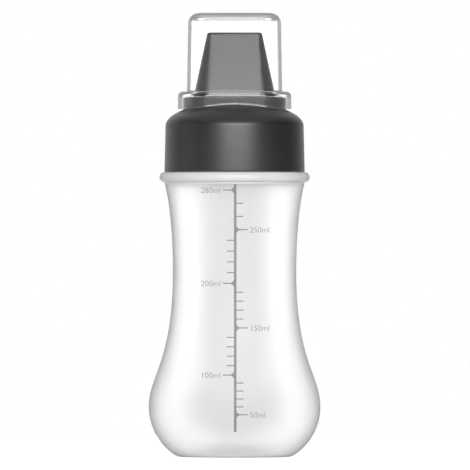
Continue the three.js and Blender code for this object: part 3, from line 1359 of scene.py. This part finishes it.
@dataclass
class SealingRing:
    """Flat silicone ring with softened edges."""

    fit: Fit
    lip_overlap: float = 0.45
    cap_gap: float = 0.35
    edge: float = 0.35
    segments: int = 128

    def build(self) -> Piece:
        """Builds the ring.

        Returns:
            The piece.
        """
        fit = self.fit
        inner = fit.neck_radius - fit.neck_wall - self.lip_overlap
        outer = fit.cap_bore - self.cap_gap
        low = fit.lip + fit.seat_gap
        high = low + fit.seal
        soft = self.edge
        trace = Trace(inner + soft, low)
        trace.line(outer - soft, low).corner((outer, low), (outer, low + soft), steps=3)
        trace.line(outer, high - soft).corner((outer, high), (outer - soft, high), steps=3)
        trace.line(inner + soft, high).corner((inner, high), (inner, high - soft), steps=3)
        trace.line(inner, low + soft).corner((inner, low), (inner + soft, low), steps=3)
        shape = Shape()
        shape.revolve(trace.points, self.segments)
        return Piece(shape.to_object("silicone_ring"), Body.SEAL, Slot.SEAL, "sealing_ring")


@dataclass
class DispensingCap:
    """Screw cap in one moulding: skirt, dome, plinth and wedge nozzle with a row of outlets.

    A hold is a ring set close to an edge, which keeps the long wall beside it evenly shaded.
    """

    fit: Fit
    flare: float = 0.45
    edge: float = 0.25
    edge_steps: int = 3
    foot_hold: float = 0.4
    seat_width: float = 3.3
    plinth_wall: float = 1.8
    plinth_edge: float = 0.5
    plinth_hold: float = 0.2
    nozzle_wall: float = 1.5
    nozzle_fillet: float = 0.6
    tip_half_straight: float = 9.4
    tip_radius: float = 2.2
    tip_wall: float = 0.95
    tip_edge: float = 1.1
    tip_thickness: float = 1.6
    outlet_count: int = 5
    outlet_radius: float = 1.0
    outlet_segments: int = 24
    thread_turn: float = 0.3
    thread_turns: float = 1.5
    thread_play: float = 0.4
    smooth_below: float = 28

    def _outer(self, shape: Shape) -> SlotWall:
        """Grows the outside, from the tip of the nozzle down to the foot.

        Args:
            shape: the cap's mesh.

        Returns:
            The wall.
        """
        fit = self.fit
        tip_edge, fillet, edge = self.tip_edge, self.nozzle_fillet, self.plinth_edge
        tip = Ring(self.tip_half_straight, self.tip_radius - tip_edge, fit.nozzle_top)
        straight = fit.plinth_half_straight
        wall = SlotWall(shape, tip, True)
        wall.rounded(-tip_edge, -tip_edge, steps=6, tuck=False)
        wall.flat_to(straight, fit.nozzle_radius, fit.plinth_top + fillet)
        wall.rounded(-fillet, -fillet, steps=4)
        wall.flat_to(straight, fit.plinth_radius - edge, fit.plinth_top)
        wall.rounded(-edge, -edge, steps=4, tuck=False)
        wall.to_slot(straight, fit.plinth_radius, fit.plinth_top - edge - self.plinth_hold)
        wall.to_dome(fit.dome)
        wall.along_dome(fit.dome, fit.dome.radius, steps=20)
        foot = fit.dome.radius + self.flare
        wall.to_round(foot, fit.cap_foot + self.edge + self.foot_hold)
        for i in range(self.edge_steps + 1):
            angle = math.pi / 2 * i / self.edge_steps
            drawn_in = self.edge * (1 - math.cos(angle))
            wall.to_round(foot - drawn_in, fit.cap_foot + self.edge * (1 - math.sin(angle)))
        return wall

    def _inner(self, shape: Shape) -> SlotWall:
        """Grows the inside, from under the nozzle's tip down to the foot.

        Args:
            shape: the cap's mesh.

        Returns:
            The wall.
        """
        fit = self.fit
        top = fit.nozzle_top - self.tip_thickness
        straight, roof = fit.plinth_half_straight, fit.plinth_top - self.plinth_wall
        dome = fit.dome.grown(-fit.cap_wall)
        seat_inner = fit.cap_bore - self.seat_width
        under_tip = Ring(self.tip_half_straight, self.tip_radius - self.tip_wall, top)
        wall = SlotWall(shape, under_tip, False)
        wall.to_slot(straight, fit.nozzle_radius - self.nozzle_wall, roof)
        wall.to_slot(straight, fit.plinth_radius - self.plinth_wall, roof)
        wall.to_dome(dome)
        wall.along_dome(dome, seat_inner, steps=8)
        wall.to_round(seat_inner, fit.seat)
        wall.to_round(fit.cap_bore, fit.seat)
        wall.to_round(fit.cap_bore, fit.cap_foot)
        return wall

    def _outlets(self, shape: Shape, above: Sequence[BMEdge], below: Sequence[BMEdge]) -> None:
        """Closes the tip above and below, around a row of round outlets.

        Args:
            shape: the cap's mesh.
            above: outline of the tip's top.
            below: outline of its underside.
        """
        pitch = 2 * self.tip_half_straight / (self.outlet_count - 1)
        top = self.fit.nozzle_top
        holes: list[list[list[BMEdge]]] = []
        for level, outline in ((top, above), (top - self.tip_thickness, below)):
            row = []
            for i in range(self.outlet_count):
                made = bmesh.ops.create_circle(
                    shape.bm,
                    cap_ends=False,
                    radius=self.outlet_radius,
                    segments=self.outlet_segments,
                    matrix=Matrix.Translation((pitch * i - self.tip_half_straight, 0, level)),
                )
                row.append(list({edge for vert in made["verts"] for edge in vert.link_edges}))
            rims = [edge for rim in row for edge in rim]
            bmesh.ops.triangle_fill(shape.bm, use_beauty=True, edges=[*outline, *rims])
            holes.append(row)
        for upper, lower in zip(*holes):
            shape.bridge(upper, lower)

    def build(self) -> Piece:
        """Builds the cap with its inner thread.

        Returns:
            The piece.
        """
        fit = self.fit
        shape = Shape()
        outer, inner = self._outer(shape), self._inner(shape)
        shape.bridge(outer.edges, inner.edges)
        self._outlets(shape, outer.first, inner.first)
        shape.weld()
        made = shape.to_object("charcoal_cap")
        ridge = ThreadRidge(
            root_radius=fit.cap_bore,
            crest_radius=fit.cap_bore - fit.thread_depth,
            start_level=0.0,
            start_turn=self.thread_turn,
            turns=self.thread_turns,
        )
        slope = (ridge.root_width - ridge.crest_width) / 2 / fit.thread_depth
        drop = ridge.root_width - (fit.thread_depth + fit.thread_gap) * slope + self.thread_play
        ridge.start_level = fit.bead_top + fit.thread_above_bead - drop
        merge_solids(made, ridge.build("cap_thread"), self.smooth_below)
        return Piece(made, Body.CAP, Slot.DARK, "dispensing_cap")


@dataclass
class DustCover:
    """Clear cover in one moulding: a hood over the nozzle on a stepped skirt round the plinth."""

    fit: Fit
    wall: float = 1.6
    air: float = 1.2
    draft: float = 0.5
    headroom: float = 6.3
    roof: float = 1.8
    roof_round: float = 4.4
    ledge: float = 2.15
    ledge_round: float = 2.0
    play: float = 0.35
    skirt_wall: float = 1.8
    skirt_draft: float = 0.05
    hood_fillet: float = 0.3
    skirt_depth: float = 5.1
    dome_gap: float = 0.4
    edge: float = 0.25
    edge_over: float = 40
    mouth_round: float = 0.3
    roof_hold: float = 0.3
    smooth_below: float = 50

    def build(self) -> Piece:
        """Builds the cover.

        Returns:
            The piece.
        """
        fit = self.fit
        straight = fit.plinth_half_straight
        under = fit.plinth_top + fit.seat_gap
        foot = under - self.skirt_depth
        ledge_top = under + self.ledge
        top = fit.nozzle_top + self.headroom + self.roof
        hood = fit.nozzle_radius + self.air + self.wall
        skirt_in = fit.plinth_radius + self.play
        skirt_out = skirt_in + self.skirt_wall
        ledge_round, fillet, mouth = self.ledge_round, self.hood_fillet, self.mouth_round
        roof_round, inner_round = self.roof_round, self.roof_round - self.wall
        shape = Shape()

        outer = SlotWall(shape, Ring(straight, skirt_out, foot), True)
        outer.flat_to(straight, skirt_out - self.skirt_draft, ledge_top - ledge_round)
        outer.rounded(ledge_round, ledge_round, steps=8)
        outer.flat_to(straight, hood + fillet, ledge_top)
        outer.rounded(fillet, fillet, steps=4, tuck=False)
        outer.flat_to(straight, hood - self.draft, top - roof_round)
        outer.rounded(roof_round, roof_round, steps=12)
        outer.to_slot(straight, outer.now.end_radius - self.roof_hold, top)
        outer.close()

        inner = SlotWall(shape, Ring(straight, skirt_in, foot), False)
        inner.flat_to(straight, skirt_in, under - mouth)
        inner.rounded(mouth, mouth, steps=2)
        inner.flat_to(straight, hood - self.wall, under)
        inner.flat_to(straight, hood - self.wall - self.draft, top - self.roof - inner_round)
        inner.rounded(inner_round, inner_round, steps=10)
        inner.to_slot(straight, inner.now.end_radius - self.roof_hold, top - self.roof)
        inner.close()

        around_foot = verts_of([*outer.first, *inner.first])
        self._arch(around_foot)
        shape.bridge(outer.first, inner.first)
        shape.weld()
        self._soften(shape, around_foot)
        made = shape.to_object("clear_cover", self.smooth_below)
        return Piece(made, Body.COVER, Slot.CLEAR, "dust_cover")

    def _arch(self, foot: set[BMVert]) -> None:
        """Lifts the skirt's lower edge clear of the dome, which leaves it arched.

        Args:
            foot: the points round the skirt's foot.
        """
        lifted = self.fit.dome.grown(self.dome_gap)
        for vert in foot:
            vert.co.z = max(vert.co.z, lifted.height(vert.co.xy.length))

    def _soften(self, shape: Shape, foot: set[BMVert]) -> None:
        """Rounds the two edges of the skirt's foot a little.

        Args:
            shape: the cover's mesh.
            foot: the points round the foot.
        """
        around = [edge for edge in shape.bm.edges if foot.issuperset(edge.verts)]
        least = math.radians(self.edge_over)
        bmesh.ops.bevel(
            shape.bm,
            geom=[edge for edge in around if edge.calc_face_angle(0) > least],
            offset=self.edge,
            offset_type="OFFSET",
            segments=2,
            profile=0.5,
            affect="EDGES",
            clamp_overlap=True,
            material=-1,
        )


@dataclass
class MeasuringScale:
    """Printed scale: an upright line, ticks on alternate sides and plain volumes in millilitres."""

    print_on: bpy.types.Object
    line_x: float = 0.25
    line_width: float = 1.0
    line_span: Point = (10.9, 113.6)
    tick_width: float = 0.42
    tick_root: float = 0.98
    long_tick: float = 5.2
    short_tick: float = 3.4
    flare_reach: float = 1.75
    flare_half: float = 1.5
    flare_power: float = 2.6
    digit_height: float = 2.45
    digit_share: float = 0.73
    digit_thinning: float = 0.02
    text_gap: float = 0.75
    film: float = 0.03
    gap: float = 0.01
    in_front: float = 100
    marks: dict[int, float] = field(
        default_factory=lambda: {50: 18.0, 100: 34.4, 150: 53.9, 200: 72.4, 250: 94.7, 280: 111.1}
    )
    division: int = 10

    def _strip(self, shape: Shape, span: Point, level: float, half: Callable[[float], float]) -> None:
        """Adds a flat strip that runs away from the line.

        Args:
            shape: the print's mesh, drawn flat in X and Z.
            span: where it starts and ends along X.
            level: its height.
            half: half its width at each distance from its start.
        """
        made = bmesh.ops.create_grid(shape.bm, x_segments=14, y_segments=2, size=0.5)
        start, end = span
        for vert in made["verts"]:
            share = vert.co.x + 0.5
            away = (end - start) * share
            z = level + 2 * vert.co.y * half(abs(away))
            vert.co = Vector((start + away, 0, z))

    def _line(self, shape: Shape) -> None:
        """Adds the upright line."""
        low, high = self.line_span
        made = bmesh.ops.create_grid(shape.bm, x_segments=2, y_segments=110, size=0.5)
        for vert in made["verts"]:
            x = self.line_x + vert.co.x * self.line_width
            vert.co = Vector((x, 0, low + (high - low) * (vert.co.y + 0.5)))

    def _flared(self, away: float) -> float:
        """Half width of a long tick at a distance from the line."""
        share = max(1 - away / self.flare_reach, 0.0)
        plain = self.tick_width / 2
        return plain + (self.flare_half - plain) * share**self.flare_power

    def _label(self, shape: Shape, text: str, x: float, level: float, side: Side) -> None:
        """Adds a volume in plain figures.

        Args:
            shape: the print's mesh.
            text: what it says.
            x: the end of the text nearest the line.
            level: height of its middle.
            side: the side of the line that it stands on.
        """
        curve = bpy.data.curves.new("volume", "FONT")
        curve.body = text
        curve.size = self.digit_height / self.digit_share
        curve.offset = -self.digit_thinning * self.digit_height
        curve.align_x = "RIGHT" if side is Side.LEFT else "LEFT"
        curve.resolution_u = 4
        writing = new_object("volume", curve)
        graph = bpy.context.evaluated_depsgraph_get()
        flat = bpy.data.meshes.new_from_object(writing.evaluated_get(graph))
        upright = Matrix.Translation((x, 0, level - self.digit_height / 2))
        flat.transform(upright @ Matrix.Rotation(math.pi / 2, 4, "X"))
        shape.bm.from_mesh(flat)
        bpy.data.meshes.remove(flat)
        bpy.data.objects.remove(writing)
        bpy.data.curves.remove(curve)

    def _draw(self, shape: Shape) -> None:
        """Draws the whole scale flat."""
        self._line(shape)
        root = self.line_width / 2 * self.tick_root
        side = Side.LEFT
        volumes = sorted(self.marks, reverse=True)
        for upper, lower in zip(volumes, [*volumes[1:], None]):
            level = self.marks[upper]
            start, end = (self.line_x + side.value * away for away in (root, self.long_tick))
            self._strip(shape, (start, end), level, self._flared)
            self._label(shape, f"{upper}ml", end + side.value * self.text_gap, level, side)
            side = Side.RIGHT if side is Side.LEFT else Side.LEFT
            if lower is None:
                break
            span = tuple(self.line_x + side.value * away for away in (root, self.short_tick))
            parts = (upper - lower) // self.division
            for i in range(1, parts):
                between = level + (self.marks[lower] - level) * i / parts
                self._strip(shape, span, between, lambda away: self.tick_width / 2)

    def build(self) -> Piece:
        """Builds the print as a thin film that hugs the body.

        Returns:
            The piece.
        """
        shape = Shape()
        self._draw(shape)
        bmesh.ops.remove_doubles(shape.bm, verts=shape.bm.verts, dist=WELD)
        raised = bmesh.ops.extrude_face_region(shape.bm, geom=shape.bm.faces, use_keep_orig=True)
        front = [item for item in raised["geom"] if isinstance(item, BMVert)]
        bmesh.ops.translate(shape.bm, verts=front, vec=(0, -self.film, 0))
        graph = bpy.context.evaluated_depsgraph_get()
        wall = BVHTree.FromObject(self.print_on, graph)
        for vert in shape.bm.verts:
            start = Vector((vert.co.x, -self.in_front, vert.co.z)) * MM
            hit, normal, _, _ = wall.ray_cast(start, Vector((0, 1, 0)))
            vert.co = hit / MM + normal * (self.gap - vert.co.y)
        bmesh.ops.recalc_face_normals(shape.bm, faces=shape.bm.faces)
        return Piece(shape.to_object("measuring_scale"), Body.BOTTLE, Slot.DARK)


# Studio


@dataclass(frozen=True)
class SoftBox:
    """A lamp with a rectangular face: its middle, what it points at, and its power in watts."""

    name: str
    place: Triple
    target: Triple
    size: Span
    power: float

    def build(self) -> None:
        """Adds the lamp to the scene."""
        data = bpy.data.lights.new(self.name, "AREA")
        data.shape = "RECTANGLE"
        data.size, data.size_y = self.size
        data.energy = self.power
        lamp = new_object(self.name, data)
        lamp.location = self.place
        aim = Vector(self.target) - Vector(self.place)
        lamp.rotation_euler = aim.to_track_quat("-Z", "Y").to_euler()


@dataclass
class Studio:
    """White floor and surround, soft lamps, and a far camera level with the middle of the bottle.

    In reflections the surround is dim in front, rises to white behind, later on the right than on
    the left, and has a pale sheen overhead.
    """

    lens: float = 1000.0
    sensor: float = 36.0
    view_span: float = 195.92
    view_x: float = 0.17
    view_level: float = 92.46
    floor_half: float = 0.6
    floor_drop: float = 0.05 * MM
    floor_grey: float = 0.8
    floor_glow: float = 0.62
    fill: float = 0.45
    gloss_front: float = 0.06
    gloss_fall: float = 1.2
    gloss_right: float = 2.0
    gloss_above: float = 0.45
    above_rise: Span = (0.4, 0.9)
    lamps: tuple[SoftBox, ...] = (
        SoftBox("front_box", (0.07, -1.15, 0.49), (0.0, 0.0, 0.13), (1.10, 0.42), 11.0),
        SoftBox("left_box", (-1.1, -0.15, 0.25), (0.0, 0.0, 0.09), (0.5, 1.0), 0.7),
    )

    def build(self) -> None:
        """Sets up the camera, floor, surround and lamps."""
        self._camera()
        self._floor()
        self._surround()
        for lamp in self.lamps:
            lamp.build()
        bpy.context.scene.view_settings.view_transform = "Standard"
        log.info("studio ready")

    def _camera(self) -> None:
        """Places the camera."""
        data = bpy.data.cameras.new("camera")
        data.lens = self.lens
        data.sensor_width = self.sensor
        distance = self.lens * self.view_span / self.sensor
        data.clip_end = 4 * distance * MM
        camera = new_object("camera", data)
        camera.location = (self.view_x * MM, -distance * MM, self.view_level * MM)
        camera.rotation_euler = (math.pi / 2, 0, 0)
        bpy.context.scene.camera = camera

    def _floor(self) -> None:
        """Lays the white floor, which takes the bottle's shadow."""
        bm = bmesh.new()
        bmesh.ops.create_grid(bm, x_segments=1, y_segments=1, size=self.floor_half)
        bmesh.ops.translate(bm, verts=bm.verts, vec=(0, 0, -self.floor_drop))
        mesh = bpy.data.meshes.new("floor")
        bm.to_mesh(mesh)
        bm.free()
        material, recipe = new_material("white_floor")
        seen = recipe.rays("Camera", "Glossy", "Transmission")
        grey = (self.floor_grey, self.floor_grey, self.floor_grey, 1.0)
        white = {"Color": (1.0, 1.0, 1.0, 1.0), "Strength": self.floor_glow * seen}
        paint = recipe.signal("ShaderNodeBsdfDiffuse", 0, None, {"Color": grey})
        glow = recipe.signal("ShaderNodeEmission", 0, None, white)
        recipe.surface(recipe.signal("ShaderNodeAddShader", 0, None, {0: paint, 1: glow}))
        mesh.materials.append(material)
        new_object("floor", mesh)

    def _surround(self) -> None:
        """Makes the surround white to the eye and through clear plastic, and plain as a light."""
        world = bpy.data.worlds.new("surround")
        bpy.context.scene.world = world
        world.use_nodes = True
        recipe = Recipe(world.node_tree)
        seen, glossy = recipe.rays("Camera", "Transmission"), recipe.rays("Glossy")
        way = recipe.signal("ShaderNodeTexCoord", "Generated")
        split = recipe.node("ShaderNodeSeparateXYZ", None, {"Vector": way})
        right, behind, above = (Signal(recipe, output) for output in split.outputs)
        fall = self.gloss_fall + self.gloss_right * right.at_least(0.0)
        shown = self.gloss_front + (1 - self.gloss_front) * behind.at_least(0.0) ** fall
        shown = shown.at_least(self.gloss_above * above.step(*self.above_rise))
        strength = self.fill + (1 - self.fill) * seen + (shown - self.fill) * glossy
        white = {"Color": (1.0, 1.0, 1.0, 1.0), "Strength": strength}
        background = recipe.signal("ShaderNodeBackground", 0, None, white)
        recipe.node("ShaderNodeOutputWorld", None, {"Surface": background})


def main() -> None:
    """Builds the pieces in order and sets up the studio."""
    logging.basicConfig(level=logging.INFO, format="%(name)s: %(message)s")
    fit = Fit()
    body = BottleBody(fit).build()
    body.place(MilkyPolyethylene().build())
    SealingRing(fit).build().place(SealSilicone().build())
    DispensingCap(fit).build().place(DarkGrain().build())
    DustCover(fit).build().place(ClearPolypropylene().build())
    MeasuringScale(body.made).build().place(ScaleInk().build())
    Studio().build()


if __name__ == "__main__":
    main()
